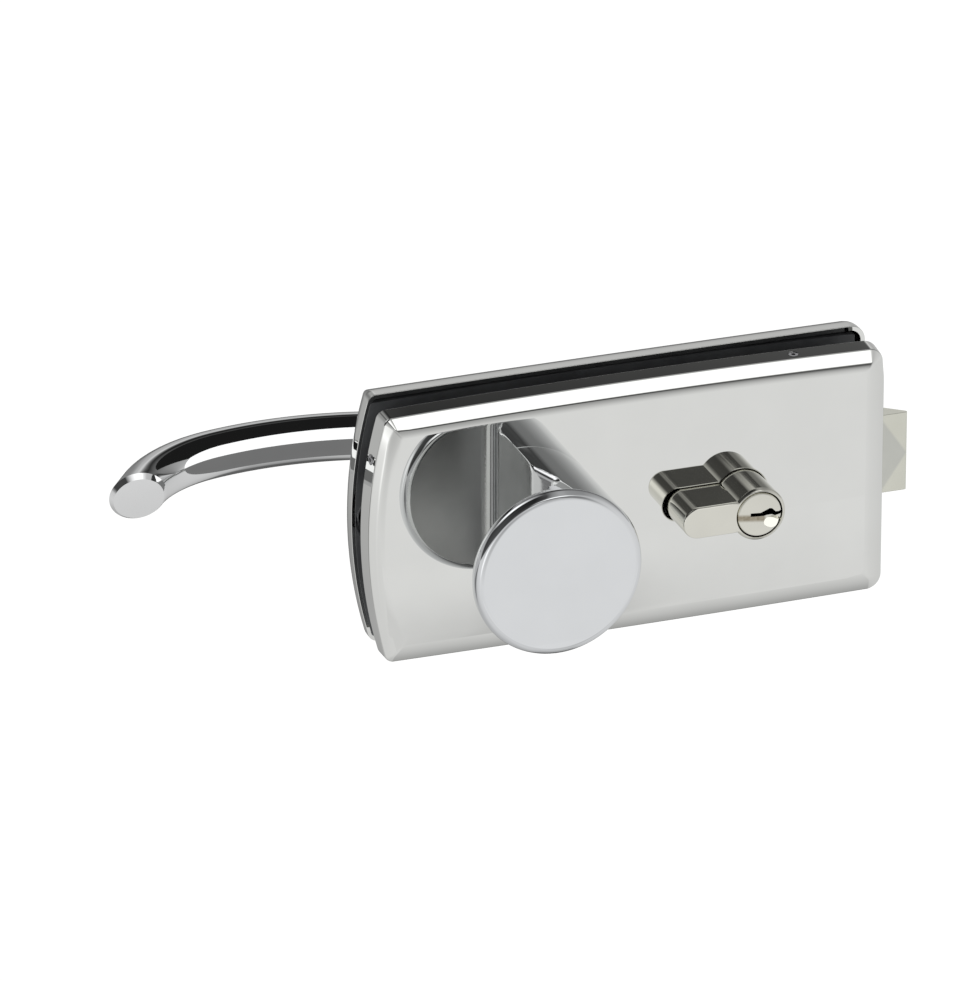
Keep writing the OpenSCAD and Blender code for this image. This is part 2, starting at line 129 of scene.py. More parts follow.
def bumped(nt, bsdf, val, strength, distance):
    b = nt.nodes.new("ShaderNodeBump")
    b.inputs["Strength"].default_value = strength
    b.inputs["Distance"].default_value = distance
    nt.links.new(val, b.inputs["Height"])
    nt.links.new(b.outputs["Normal"], bsdf.inputs["Normal"])


def metal(name, c0, c1, r0, r1, stretch=(1, 1, 1), scale=900.0, bump=0.0, dist=0.00002, blotch=60.0):
    m, nt, p = shader(name)
    p.inputs["Metallic"].default_value = 1.0
    vec = coords(nt, stretch)
    fine = noise(nt, vec, scale)
    broad = noise(nt, coords(nt), blotch, 2.0)
    nt.links.new(tinted(nt, broad, c0, c1), p.inputs["Base Color"])
    nt.links.new(ranged(nt, fine, r0, r1), p.inputs["Roughness"])
    if bump:
        bumped(nt, p, fine, bump, dist)
    return m


def paint_latch_reflection(m):
    """A painted darker reflection on the latch's flat face, a triangle that narrows to a point at its tip."""
    nt = m.node_tree
    p = next(n for n in nt.nodes if n.type == "BSDF_PRINCIPLED")
    plain = p.inputs["Base Color"].links[0].from_socket
    place = nt.nodes.new("ShaderNodeTexCoord")
    part = nt.nodes.new("ShaderNodeSeparateXYZ")
    nt.links.new(place.outputs["Object"], part.inputs["Vector"])

    def math_node(kind, a, b):
        n = nt.nodes.new("ShaderNodeMath")
        n.operation = kind
        for i, v in enumerate((a, b)):
            if isinstance(v, float):
                n.inputs[i].default_value = v
            else:
                nt.links.new(v, n.inputs[i])
        return n.outputs[0]

    high = math_node("ABSOLUTE", math_node("SUBTRACT", part.outputs["Z"], 0.0020), 0.0)
    room = math_node("MULTIPLY", math_node("SUBTRACT", 0.1288, part.outputs["X"]), 1.45)
    patch = ranged(nt, math_node("SUBTRACT", room, high), 0.0, 1.0, -0.0005, 0.0008)
    face = ranged(nt, part.outputs["Y"], 1.0, 0.0, -0.0053, -0.0049)
    mix = nt.nodes.new("ShaderNodeMix")
    mix.data_type = "RGBA"
    nt.links.new(math_node("MULTIPLY", patch, face), mix.inputs["Factor"])
    nt.links.new(plain, mix.inputs[6])
    nt.links.new(tinted(nt, noise(nt, coords(nt), 90, 2.0), (0.575, 0.58, 0.54), (0.61, 0.615, 0.57)), mix.inputs[7])
    nt.links.new(mix.outputs[2], p.inputs["Base Color"])


def make_materials():
    mats = {}
    mats["polished_chrome"] = metal("polished_chrome", (0.805, 0.81, 0.79), (0.82, 0.825, 0.805), 0.008, 0.022, scale=500)
    mats["knob_chrome"] = metal("knob_chrome", (0.80, 0.815, 0.83), (0.815, 0.83, 0.845), 0.012, 0.03, scale=500)
    mats["lever_chrome"] = metal("lever_chrome", (0.79, 0.795, 0.80), (0.82, 0.825, 0.825), 0.02, 0.04, scale=500)
    mats["satin_nickel"] = metal("satin_nickel", (0.74, 0.73, 0.665), (0.78, 0.77, 0.70), 0.035, 0.075, (1, 0.08, 1), 2500, 0.03)
    mats["latch_nickel"] = metal("latch_nickel", (0.70, 0.70, 0.62), (0.74, 0.74, 0.66), 0.05, 0.10, (1, 1, 0.1), 1800, 0.03)
    # the latch's face gets a darker triangle of painted reflection in its colour
    paint_latch_reflection(mats["latch_nickel"])
    mats["zinc_steel"] = metal("zinc_steel", (0.52, 0.54, 0.57), (0.62, 0.63, 0.65), 0.28, 0.42, scale=1400, bump=0.1)
    mats["plate_steel"] = metal("plate_steel", (0.36, 0.37, 0.38), (0.46, 0.47, 0.48), 0.3, 0.45, (0.1, 1, 1), 1600, 0.15)
    mats["screw_steel"] = metal("screw_steel", (0.50, 0.50, 0.52), (0.62, 0.62, 0.63), 0.2, 0.34, scale=2000, bump=0.08)
    mats["sleeve_metal"] = metal("sleeve_metal", (0.70, 0.70, 0.71), (0.78, 0.78, 0.79), 0.15, 0.26, (1, 0.1, 1), 2200, 0.08)
    mats["pin_brass"] = metal("pin_brass", (0.74, 0.55, 0.24), (0.82, 0.64, 0.32), 0.18, 0.3, scale=2400, bump=0.06)
    mats["spring_steel"] = metal("spring_steel", (0.50, 0.51, 0.53), (0.60, 0.61, 0.62), 0.2, 0.34, scale=2600, bump=0.06)
    # the knob's recess: polished wall; the back of the disc is rougher, and its colour is painted darker as shade in
    # the recess
    m, nt, p = shader("knob_recess")
    p.inputs["Metallic"].default_value = 1.0
    place = nt.nodes.new("ShaderNodeTexCoord")
    part = nt.nodes.new("ShaderNodeSeparateXYZ")
    nt.links.new(place.outputs["Object"], part.inputs["Vector"])
    deep = ranged(nt, part.outputs["Y"], 0.0, 1.0, -0.0434, -0.0437)
    fine = noise(nt, coords(nt), 1500)
    recess_shade = tinted(nt, noise(nt, coords(nt), 60, 2.0), (0.46, 0.465, 0.47), (0.52, 0.525, 0.53))
    wall = tinted(nt, noise(nt, coords(nt), 60, 2.0), (0.74, 0.75, 0.76), (0.80, 0.81, 0.82))
    mix = nt.nodes.new("ShaderNodeMix")
    mix.data_type = "RGBA"
    nt.links.new(deep, mix.inputs["Factor"])
    nt.links.new(wall, mix.inputs[6])
    nt.links.new(recess_shade, mix.inputs[7])
    nt.links.new(mix.outputs[2], p.inputs["Base Color"])
    rough = nt.nodes.new("ShaderNodeMix")
    rough.data_type = "FLOAT"
    nt.links.new(deep, rough.inputs["Factor"])
    nt.links.new(ranged(nt, fine, 0.05, 0.09), rough.inputs[2])
    nt.links.new(ranged(nt, fine, 0.30, 0.40), rough.inputs[3])
    nt.links.new(rough.outputs[0], p.inputs["Roughness"])
    mats["knob_recess"] = m
    # the rotor's face, with a brownish band of painted shade below the keyway
    m, nt, p = shader("rotor_nickel")
    p.inputs["Metallic"].default_value = 1.0
    place = nt.nodes.new("ShaderNodeTexCoord")
    part = nt.nodes.new("ShaderNodeSeparateXYZ")
    nt.links.new(place.outputs["Object"], part.inputs["Vector"])
    slope = nt.nodes.new("ShaderNodeMath")
    slope.operation = "MULTIPLY_ADD"
    slope.inputs[1].default_value = 0.132
    slope.inputs[2].default_value = 0.00120 - 0.132 * 0.0714
    nt.links.new(part.outputs["X"], slope.inputs[0])
    line = nt.nodes.new("ShaderNodeMath")
    line.operation = "ADD"
    nt.links.new(slope.outputs[0], line.inputs[0])
    nt.links.new(part.outputs["Z"], line.inputs[1])
    away = nt.nodes.new("ShaderNodeMath")
    away.operation = "ABSOLUTE"
    nt.links.new(line.outputs[0], away.inputs[0])
    shade_band = ranged(nt, away.outputs[0], 1.0, 0.0, 0.0005, 0.0014)
    left = ranged(nt, part.outputs["X"], 1.0, 0.0, 0.0714 + 0.0014, 0.0714 + 0.0022)
    both = nt.nodes.new("ShaderNodeMath")
    both.operation = "MULTIPLY"
    nt.links.new(shade_band, both.inputs[0])
    nt.links.new(left, both.inputs[1])
    brushed = coords(nt, (1, 0.08, 1))
    fine = noise(nt, brushed, 2500)
    unshaded_face = tinted(nt, noise(nt, coords(nt), 60, 2.0), (0.74, 0.73, 0.665), (0.78, 0.77, 0.70))
    # the band's brownish colour is painted shade under the keyway
    painted_shade_tone = tinted(nt, noise(nt, coords(nt), 900, 2.0), (0.33, 0.29, 0.22), (0.42, 0.38, 0.30))
    mix = nt.nodes.new("ShaderNodeMix")
    mix.data_type = "RGBA"
    nt.links.new(both.outputs[0], mix.inputs["Factor"])
    nt.links.new(unshaded_face, mix.inputs[6])
    nt.links.new(painted_shade_tone, mix.inputs[7])
    nt.links.new(mix.outputs[2], p.inputs["Base Color"])
    nt.links.new(ranged(nt, fine, 0.035, 0.075), p.inputs["Roughness"])
    bumped(nt, p, fine, 0.03, 0.00002)
    mats["rotor_nickel"] = m
    m, nt, p = shader("gasket_rubber")
    vec = coords(nt)
    fine = noise(nt, vec, 2600, 4.0, 0.6)
    broad = noise(nt, vec, 90, 2.0)
    nt.links.new(tinted(nt, broad, (0.085, 0.088, 0.092), (0.12, 0.125, 0.13)), p.inputs["Base Color"])
    nt.links.new(ranged(nt, fine, 0.45, 0.65), p.inputs["Roughness"])
    bumped(nt, p, fine, 0.3, 0.00003)
    mats["gasket_rubber"] = m
    return mats


MATS = make_materials()

# ------------------------------------------------------------ mesh helpers


def finish_mesh(name, bm, body, material, node, angle=28.0, weighted=True):
    bmesh.ops.remove_doubles(bm, verts=bm.verts, dist=1e-4)
    bmesh.ops.recalc_face_normals(bm, faces=bm.faces)
    for v in bm.verts:
        v.co *= MM
    me = bpy.data.meshes.new(name)
    bm.to_mesh(me)
    bm.free()
    for poly in me.polygons:
        poly.use_smooth = True
    me.set_sharp_from_angle(angle=math.radians(angle))
    ob = bpy.data.objects.new(name, me)
    scene.collection.objects.link(ob)
    me.materials.append(MATS[material])
    if weighted:
        w = ob.modifiers.new("weighted", "WEIGHTED_NORMAL")
        w.keep_sharp = True
        w.weight = 100
        w.mode = "FACE_AREA"
    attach(ob, body)
    if node:
        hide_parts(*([node] if isinstance(node, str) else node))
    return ob


def loft(bm, rings, closed=True, wrap=False):
    """Quads between rings, which are lists of points; returns the vertices."""
    vs = [[bm.verts.new(p) for p in r] for r in rings]
    n = len(rings[0])
    pairs = list(zip(vs, vs[1:])) + ([(vs[-1], vs[0])] if wrap else [])
    for a, b in pairs:
        for k in range(n if closed else n - 1):
            m = (k + 1) % n
            bm.faces.new((a[k], a[m], b[m], b[k]))
    return vs


def plate(bm, outer, holes, y):
    """A flat face at height y between an outer ring of X-Z points and holes."""
    pts, edges = [], []
    for ring in [outer] + holes:
        s = len(pts)
        pts += [Vector(p) for p in ring]
        edges += [(s + k, s + (k + 1) % len(ring)) for k in range(len(ring))]
    co, _, faces, _, _, _ = delaunay_2d_cdt(pts, edges, [], 0, 1e-6)

    def inside(p, ring):
        c = False
        j = len(ring) - 1
        for i in range(len(ring)):
            (x0, z0), (x1, z1) = ring[i], ring[j]
            if (z0 > p[1]) != (z1 > p[1]) and p[0] < (x1 - x0) * (p[1] - z0) / (z1 - z0) + x0:
                c = not c
            j = i
        return c

    vs = [bm.verts.new((c[0], y, c[1])) for c in co]
    for f in faces:
        mid = sum((co[i] for i in f), Vector((0, 0))) / len(f)
        if inside(mid, outer) and not any(inside(mid, h) for h in holes):
            bm.faces.new([vs[i] for i in f])


def disc_fill(bm, ring):
    return bm.faces.new(ring)


def cut(ob, cutter, solver="EXACT"):
    m = ob.modifiers.new("cut", "BOOLEAN")
    m.operation = "DIFFERENCE"
    m.solver = solver
    m.object = cutter
    # the cut comes before the normals are weighted
    while ob.modifiers[0] != m:
        i = list(ob.modifiers).index(m)
        ob.modifiers.move(i, i - 1)
    dg = bpy.context.evaluated_depsgraph_get()
    shown = [(x, x.show_viewport) for x in ob.modifiers if x != m]
    for x, _ in shown:
        x.show_viewport = False
    dg = bpy.context.evaluated_depsgraph_get()
    me = bpy.data.meshes.new_from_object(ob.evaluated_get(dg))
    for x, s in shown:
        x.show_viewport = s
    ob.modifiers.remove(m)
    old = ob.data
    ob.data = me
    bpy.data.meshes.remove(old)
    bpy.data.objects.remove(cutter)
    return ob


def resharpen(ob, angle=28.0):
    me = ob.data
    for poly in me.polygons:
        poly.use_smooth = True
    me.set_sharp_from_angle(angle=math.radians(angle))


def cutter_from(bm):
    bmesh.ops.recalc_face_normals(bm, faces=bm.faces)
    for v in bm.verts:
        v.co *= MM
    me = bpy.data.meshes.new("cutter")
    bm.to_mesh(me)
    bm.free()
    ob = bpy.data.objects.new("cutter", me)
    scene.collection.objects.link(ob)
    return ob


def bar_cutter(p0, p1, r, n=48):
    bm = bmesh.new()
    a, b = Vector(p0), Vector(p1)
    d = (b - a).normalized()
    q = d.to_track_quat("Z", "Y")
    rings = []
    for c in (a, b):
        rings.append([c + q @ Vector((r * math.cos(t), r * math.sin(t), 0))
                      for t in (2 * math.pi * k / n for k in range(n))])
    vs = loft(bm, rings)
    bm.faces.new(vs[0])
    bm.faces.new(vs[1])
    return cutter_from(bm)


def box_cutter(x0, x1, y0, y1, z0, z1):
    bm = bmesh.new()
    vs = loft(bm, [[(x0, y0, z), (x1, y0, z), (x1, y1, z), (x0, y1, z)] for z in (z0, z1)])
    bm.faces.new(vs[0])
    bm.faces.new(vs[1])
    return cutter_from(bm)


# ------------------------------------------------- outline of the covers
XL, XR, ZT, ZB, RL = -47.6, 118.5, 42.3, -39.3, 142.0
XM = (XL + XR) / 2
ZM = (ZT + ZB) / 2
HALF = (XR - XL) / 2
FRONT = (HALF * HALF / 2 / 1.2, 0.0)
BACK = (HALF * HALF / 2 / 0.3, 0.55)
RB = HALF * HALF / 2 / 0.4


def circles_meet(c0, r0, c1, r1, pick):
    dx, dz = c1[0] - c0[0], c1[1] - c0[1]
    d = math.hypot(dx, dz)
    a = (r0 * r0 - r1 * r1 + d * d) / (2 * d)
    h = math.sqrt(max(r0 * r0 - a * a, 0))
    x, z = c0[0] + a * dx / d, c0[1] + a * dz / d
    both = [(x + h * dz / d, z - h * dx / d), (x - h * dz / d, z + h * dx / d)]
    return min(both, key=lambda p: math.hypot(p[0] - pick[0], p[1] - pick[1]))


def outline(i, kind=FRONT, nr=14, nt=44, nl=12, ns=30):
    """The covers' outline moved inwards by i, as X-Z points, counter-clockwise from the lower right."""
    rr, rl = max(5.0 - i, 0.9), max(3.2 - i, 0.9)
    top_r, dl = kind
    ct, rt = (XM, ZT - top_r), top_r - i
    cb, rb = (XM, ZB + RB), RB - i
    cl, r1 = (XL + dl + RL, ZM), RL - i
    xr = XR - i
    fx = xr - rr
    tr = (fx, ct[1] + math.sqrt((rt - rr) ** 2 - (fx - ct[0]) ** 2))
    br = (fx, cb[1] - math.sqrt((rb - rr) ** 2 - (fx - cb[0]) ** 2))
    tl = circles_meet(ct, rt - rl, cl, r1 - rl, (XL, ZT))
    bl = circles_meet(cb, rb - rl, cl, r1 - rl, (XL, ZB))

    def ang(c, p):
        return math.atan2(p[1] - c[1], p[0] - c[0])

    pts = []

    def arc(c, r, a0, a1, n, first):
        for k in range(0 if first else 1, n + 1):
            a = a0 + (a1 - a0) * k / n
            pts.append((c[0] + r * math.cos(a), c[1] + r * math.sin(a)))

    a_br = ang(cb, br)
    arc(br, rr, a_br, 0.0, nr, True)
    for k in range(1, ns):
        pts.append((xr, br[1] + (tr[1] - br[1]) * k / ns))
    a_tr = ang(ct, tr)
    arc(tr, rr, 0.0, a_tr, nr, True)
    a_tl = ang(ct, tl)
    arc(ct, rt, a_tr, a_tl, nt, False)
    a_left = ang(cl, tl)
    arc(tl, rl, a_tl, a_left, nl, False)
    a_left2 = ang(cl, bl) % (2 * math.pi)
    arc(cl, r1, a_left % (2 * math.pi), a_left2, ns, False)
    a_bl = ang(cb, bl) % (2 * math.pi)
    arc(bl, rl, a_left2, a_bl, nl, False)
    arc(cb, rb, a_bl, a_br % (2 * math.pi), nt, False)
    pts.pop()
    return pts


# --------------------------------------------------- euro profile section
CX, PR, PT = 71.4, 8.5, 5.0
CH = 29.4
TX = CX + PR - 33.0 + PT


def profile(c, longer=0.0, n_big=72, n_tail=28, n_web=8):
    """The cylinder's outline grown by c, counter-clockwise from the upper web corner."""
    rb, rt = PR + c, PT + c
    tx = TX - longer
    xw = CX - math.sqrt(rb * rb - rt * rt)
    a = math.pi - math.asin(rt / rb)
    pts = []
    for k in range(n_big + 1):
        t = -a + 2 * a * k / n_big
        pts.append((CX + rb * math.cos(t), rb * math.sin(t)))
    for k in range(1, n_web):
        pts.append((xw + (tx - xw) * k / n_web, rt))
    for k in range(n_tail + 1):
        t = math.pi / 2 + math.pi * k / n_tail
        pts.append((tx + rt * math.cos(t), rt * math.sin(t)))
    for k in range(1, n_web):
        pts.append((tx + (xw - tx) * k / n_web, -rt))
    return pts


def at_y(ring, y):
    return [(x, y, z) for x, z in ring]


def rounded_path(path, fillets, steps=6):
    """A polyline with its inner corners rounded: fillets gives the tangent length at each corner."""
    out = [path[0]]
    for k in range(1, len(path) - 1):
        t = fillets[k - 1]
        p, a, b = Vector(path[k]), Vector(path[k - 1]), Vector(path[k + 1])
        if t <= 0:
            out.append(tuple(p))
            continue
        u, v = (a - p).normalized(), (b - p).normalized()
        s, e = p + u * t, p + v * t
        half = math.acos(max(-1, min(1, u.dot(v)))) / 2
        r = t * math.tan(half)
        c = p + (u + v).normalized() * (t / math.cos(half))
        a0 = math.atan2(s[1] - c[1], s[0] - c[0])
        a1 = math.atan2(e[1] - c[1], e[0] - c[0])
        d = (a1 - a0 + math.pi) % (2 * math.pi) - math.pi
        for j in range(steps + 1):
            w = a0 + d * j / steps
            out.append((c[0] + r * math.cos(w), c[1] + r * math.sin(w)))
    out.append(path[-1])
    return out


# ----------------------------------------------------------------- covers
F_FACE, F_RIM = -14.2, -5.6
B_FACE, B_RIM = 17.2, 4.2
GAP, LONG = 0.16, 0.75


def smooth(a, b, x):
    t = max(0.0, min(1.0, (x - a) / (b - a)))
    return t * t * (3 - 2 * t)


def blended(path_a, path_b, path_c, kind):
    """Rings whose section is path_a at the top, path_c at the left, and path_b at the bottom and right."""
    rings = []
    for (ia, ya), (ib, yb), (ic, yc) in zip(path_a, path_b, path_c):
        oa, ob, oc = outline(ia, kind), outline(ib, kind), outline(ic, kind)
        ring = []
        for (xa, za), (xb, zb), (xc, zc) in zip(oa, ob, oc):
            low = smooth(-20, -33, zb) if xb > XL + 6 else smooth(-26, -37, zb)
            side = smooth(XR - 9, XR - 2.5, xb) * smooth(37, 30, zb)
            w = max(low, side)
            v = smooth(XL + 9, XL + 5.5, xc)
            pa = Vector((xa, ya, za)).lerp(Vector((xc, yc, zc)), v)
            ring.append(tuple(pa.lerp(Vector((xb, yb, zb)), w)))
        rings.append(ring)
    return rings


def cover_mesh(rings, inner, face_y, ceil_y, kind, last, lip, out_sign):
    """A tray: rings run from the rim to the flat face, which has the cylinder's hole."""
    bm = bmesh.new()
    inside = [at_y(outline(i, kind), y) for i, y in inner]
    loft(bm, inside[::-1] + rings)
    hole_path = [(GAP + lip * (1 - math.sin(t)), face_y - out_sign * lip * (1 - math.cos(t)))
                 for t in (math.pi / 2 * k / 6 for k in range(7))]
    holes = [at_y(profile(c, LONG), y) for c, y in hole_path] + [at_y(profile(GAP, LONG), ceil_y)]
    support = at_y(profile(GAP + lip + 0.12, LONG), face_y)
    loft(bm, [support] + holes)
    plate(bm, outline(last, kind), [profile(GAP + lip + 0.12, LONG)], face_y)
    plate(bm, outline(inner[-1][0], kind), [profile(GAP, LONG)], ceil_y)
    return bm


def make_covers():
    # front, top and left: drafted wall, crisp crease, bevel that eases into the face
    crisp = [(0.3, F_RIM), (0.02, F_RIM), (0.50, -11.5), (5.18, F_FACE), (8.4, F_FACE)]
    crisp = rounded_path(crisp, [0.2, 0.3, 1.5], 9)
    # bottom and right: a fuller, rounder edge
    soft = [(0.3, F_RIM), (0.02, F_RIM), (0.14, -12.0), (3.9, F_FACE), (8.4, F_FACE)]
    soft = rounded_path(soft, [0.2, 0.5, 3.4], 9)
    crisp = [(1.45, F_RIM)] + crisp + [(8.6, F_FACE)]
    left = [(0.3, F_RIM), (0.02, F_RIM), (0.35, -12.0), (3.5, F_FACE), (8.4, F_FACE)]
    left = [(1.45, F_RIM)] + rounded_path(left, [0.2, 0.4, 1.7], 9) + [(8.6, F_FACE)]
    soft = [(1.45, F_RIM)] + soft + [(8.6, F_FACE)]
    inner = [(1.45, F_RIM), (1.6, -11.4), (4.6, -12.7)]
    bm = cover_mesh(blended(crisp, soft, left, FRONT), inner, F_FACE, -12.7, FRONT, 8.6, 0.42, -1)
    front = finish_mesh("front_cover_shell", bm, "lock", "polished_chrome", "front_cover")
    cut(front, box_cutter(XR - 3, XR + 1, -6.2, F_RIM + 1, -11.0, 16.0))
    cut(front, bar_cutter((90, -8.5, 36), (90, -8.5, 50), 1.6))
    cut(front, bar_cutter((90, -8.5, -50), (90, -8.5, -34), 1.6))
    cut(front, bar_cutter((-50, -8.5, 27), (-42, -8.5, 27), 1.6))
    resharpen(front)

    raw = [(0.3, B_RIM), (0.02, B_RIM), (0.12, 8.6), (2.16, 13.8), (6.0, B_FACE), (9.5, B_FACE)]
    path = rounded_path(raw, [0.2, 1.6, 2.0, 1.6], 7)
    path = [(1.45, B_RIM)] + path + [(9.7, B_FACE)]
    inner = [(1.45, B_RIM), (1.5, 8.6), (3.6, 13.0), (7.0, 15.7)]
    bm = cover_mesh([at_y(outline(i, BACK), y) for i, y in path], inner, B_FACE, 15.7, BACK, 9.7, 0.3, 1)
    back = finish_mesh("back_cover_shell", bm, "lock", "polished_chrome", "back_cover")
    cut(back, box_cutter(XR - 3, XR + 1, B_RIM - 1, 6.2, -11.0, 16.0))
    for x, z in ((-34, 28), (-34, -24), (105, 32), (105, -28.5)):
        bm = bmesh.new()
        n = 48
        rings = []
        for r, y in ((2.1, 12.0), (2.1, B_FACE - 1.8), (3.9, B_FACE), (4.1, B_FACE + 1.0)):
            rings.append([(x + r * math.cos(2 * math.pi * k / n), y, z + r * math.sin(2 * math.pi * k / n)) for k in range(n)])
        vs = loft(bm, rings)
        bm.faces.new(vs[0])
        bm.faces.new(vs[-1])
        cut(back, cutter_from(bm))
    cut(back, bar_cutter((0, 10, 0), (0, 20, 0), 10.05, 96))
    resharpen(back)


make_covers()


# ------------------------------------------------------------------- knob
def lathe(bm, path, n=192, axis=(0.0, 0.0)):
    """Rings round an axis along Y; path is (radius, y), ends on the axis."""
    rings = []
    for r, y in path:
        rings.append([(axis[0] + r * math.cos(2 * math.pi * k / n), y, axis[1] + r * math.sin(2 * math.pi * k / n))
                      for k in range(n)])
    vs = loft(bm, rings)
    bm.faces.new(vs[0])
    bm.faces.new(vs[-1])


KR, KY, DISC, BACK_ROUND = 26.5, -49.6, 5.8, 2.2


def make_knob():
    bm = bmesh.new()
    edge = 2.6
    path = [(KR - 1.0, F_FACE), (KR - 0.35, F_FACE), (KR - 0.1, F_FACE - 0.1), (KR, F_FACE - 0.35), (KR, -20), (KR, -32), (KR, -42),
            (KR, KY + edge + 0.2)]
    for k in range(0, 17):
        t = math.pi / 2 * k / 16
        path.append((KR - edge + edge * math.cos(t), KY + edge - edge * math.sin(t)))
    path.append((KR - edge - 0.15, KY))
    lathe(bm, path)
    knob = finish_mesh("knob_pull", bm, "lock", "knob_chrome", "knob")
    # the finger recess: its edges are eased, more so towards the disc
    bm = bmesh.new()
    heights = [0.0, 12.0, 20.0, 22.5, 24.0, 24.6, 25.1, 25.5, 25.8, 26.05, 26.2, 26.3, 26.4, 30.0]
    heights = [-z for z in heights[:0:-1]] + heights
    rings = [[(x, y, z) for x, y in scoop_profile(z)] for z in heights]
    vs = loft(bm, rings)
    bm.faces.new(vs[0])
    bm.faces.new(vs[-1])
    cut(knob, cutter_from(bm))
    # round the edge of the disc's back
    bm = bmesh.new()
    bm.from_mesh(knob.data)
    rim = [e for e in bm.edges if all(abs(v.co.y / MM - (KY + DISC)) < 0.01 and abs(math.hypot(v.co.x, v.co.z) / MM - KR) < 0.02
                                      and v.co.x / MM < 1.0 for v in e.verts)]
    bmesh.ops.bevel(bm, geom=rim, offset=BACK_ROUND * MM, segments=10, profile=0.5, affect="EDGES", clamp_overlap=False)
    bm.to_mesh(knob.data)
    bm.free()
    # the back of the disc gets the recess material: rougher, and painted darker as shade in the recess
    knob.data.materials.append(MATS["knob_recess"])
    for poly in knob.data.polygons:
        c = poly.center / MM
        r = math.hypot(c.x, c.z)
        rounded = c.x < 1.0 and r > KR - BACK_ROUND - 0.05 and c.y < KY + DISC + 0.6
        inside = F_FACE - 0.4 > c.y > KY + DISC - 0.05 and r < KR - 0.12 and not rounded
        poly.material_index = 1 if inside else 0
    resharpen(knob, 24)
    return knob


def scoop_profile(z):
    """Closed X-Y outline, at height z, of what is cut away behind the disc."""
    stem, slant, bend, start, corner = -0.65, math.radians(23), 10.0, 12.0, 5.0
    depth = F_FACE - KY - DISC
    base = [(stem, -1.0), (stem, 0.0), (stem, 4.0), (stem, 8.0)]
    for k in range(13):
        a = slant * k / 12
        base.append((stem + bend * (1 - math.cos(a)), start + bend * math.sin(a)))
    sq = depth - corner * (1 + math.sin(slant))
    sx = stem + bend * (1 - math.cos(slant)) + (sq - start - bend * math.sin(slant)) * math.tan(slant)
    x0, q0 = base[-1]
    for k in range(1, 9):
        base.append((x0 + (sx - x0) * k / 8, q0 + (sq - q0) * k / 8))
    for k in range(1, 29):
        a = -slant + (math.pi / 2 + slant) * k / 28
        base.append((sx + corner * (math.cos(a) - math.cos(slant)), depth - corner + corner * math.sin(a)))
    pts = [(-60, -1.0)]
    for x, q in base:
        r = 0.3 + 1.7 * smooth(8.0, 18.0, q)
        top = math.sqrt(KR * KR - min(max(x, 0.0) + r, 12.0) ** 2)
        t = max(0.0, min(1.0, (abs(z) - (top - r)) / r))
        pts.append((x - r * math.sqrt(1 - t * t) * 0.75 * smooth(depth, depth - corner, q), q))
    pts.append((-60, depth))
    return [(x, F_FACE - q) for x, q in pts]


make_knob()


# ------------------------------------------------------------------ lever
def make_lever():
    br, er, gr, nr = 7.4, 32.4, 100.0, 45.0
    ytop = 36.7
    c1 = (-er, ytop)
    ga, ea = 26.5, 42.5
    cen, tan, rad = [], [], []

    def add(x, y, a, r=br):
        cen.append((x, y))
        tan.append((-math.sin(math.radians(a)), math.cos(math.radians(a))))
        rad.append(r)

    # the neck that turns in the bush, then the bar
    for y, r in ((12.5, 7.8), (12.7, 8.0), (18.0, 8.0), (23.4, 8.0), (23.8, 7.85), (24.0, 7.4), (28, 7.4), (32, 7.4), (36.7, 7.4)):
        add(0, y, 0, r)
    for k in range(1, 41):
        a = 75 * k / 40
        add(c1[0] + er * math.cos(math.radians(a)), c1[1] + er * math.sin(math.radians(a)), a)
    p1 = cen[-1]
    c2 = (p1[0] - gr * math.cos(math.radians(75)), p1[1] - gr * math.sin(math.radians(75)))
    for k in range(1, 31):
        a = 75 + ga * k / 30
        add(c2[0] + gr * math.cos(math.radians(a)), c2[1] + gr * math.sin(math.radians(a)), a)
    a2 = 75 + ga
    p2 = cen[-1]
    c3 = (p2[0] - nr * math.cos(math.radians(a2)), p2[1] - nr * math.sin(math.radians(a2)))
    for k in range(1, 31):
        a = a2 + ea * k / 30
        add(c3[0] + nr * math.cos(math.radians(a)), c3[1] + nr * math.sin(math.radians(a)), a)
    a3 = a2 + ea
    p3 = cen[-1]
    for s in (4, 8, 12, 16):
        add(p3[0] - s * math.sin(math.radians(a3)), p3[1] + s * math.cos(math.radians(a3)), a3)
    n = 96
    bm = bmesh.new()
    rings = []
    for (x, y), (tx, ty), r in zip(cen, tan, rad):
        nx, ny = ty, -tx
        rings.append([(x + r * math.cos(t) * nx, y + r * math.cos(t) * ny, r * math.sin(t))
                      for t in (2 * math.pi * k / n for k in range(n))])
    vs = loft(bm, rings)
    bm.faces.new(vs[0])
    bm.faces.new(vs[-1])
    ob = finish_mesh("lever_bar", bm, "handle", "lever_chrome", "lever")
    cut(ob, box_cutter(-150, -60, 10, 46.9, -20, 20))
    cut(ob, bar_cutter((0, 30, -12), (0, 30, -4.5), 2.05))
    # the cut end has a flat polished edge, widest at its top and on its outer side
    end, deep, wide, narrow = 46.9, 1.0, 1.7, 0.5
    slope = math.tan(math.radians(180 - a3))
    along = (end - p3[1]) / math.cos(math.radians(a3))
    mid = p3[0] - along * math.sin(math.radians(a3))
    half = br / math.cos(math.radians(180 - a3))
    even = (wide + narrow) / 2

    def rim(t, more=0.0, y=None):
        cx, cz = mid + slope * deep * t + 0.7 * (1 - t), -(wide - narrow) / 2 * (1 - t)
        rx, rz = half - even * (1 - t) + more, br - even * (1 - t) + more
        return [(cx + rx * math.cos(w), end + deep * t if y is None else y, cz + rz * math.sin(w))
                for w in (2 * math.pi * k / 128 for k in range(128))]

    bm = bmesh.new()
    loft(bm, [rim(-0.3), rim(1.25), rim(1.25, 5.0), rim(-0.3, 7.0, end - 1.5)], wrap=True)
    cut(ob, cutter_from(bm))
    resharpen(ob, 18)
    return ob


make_lever()


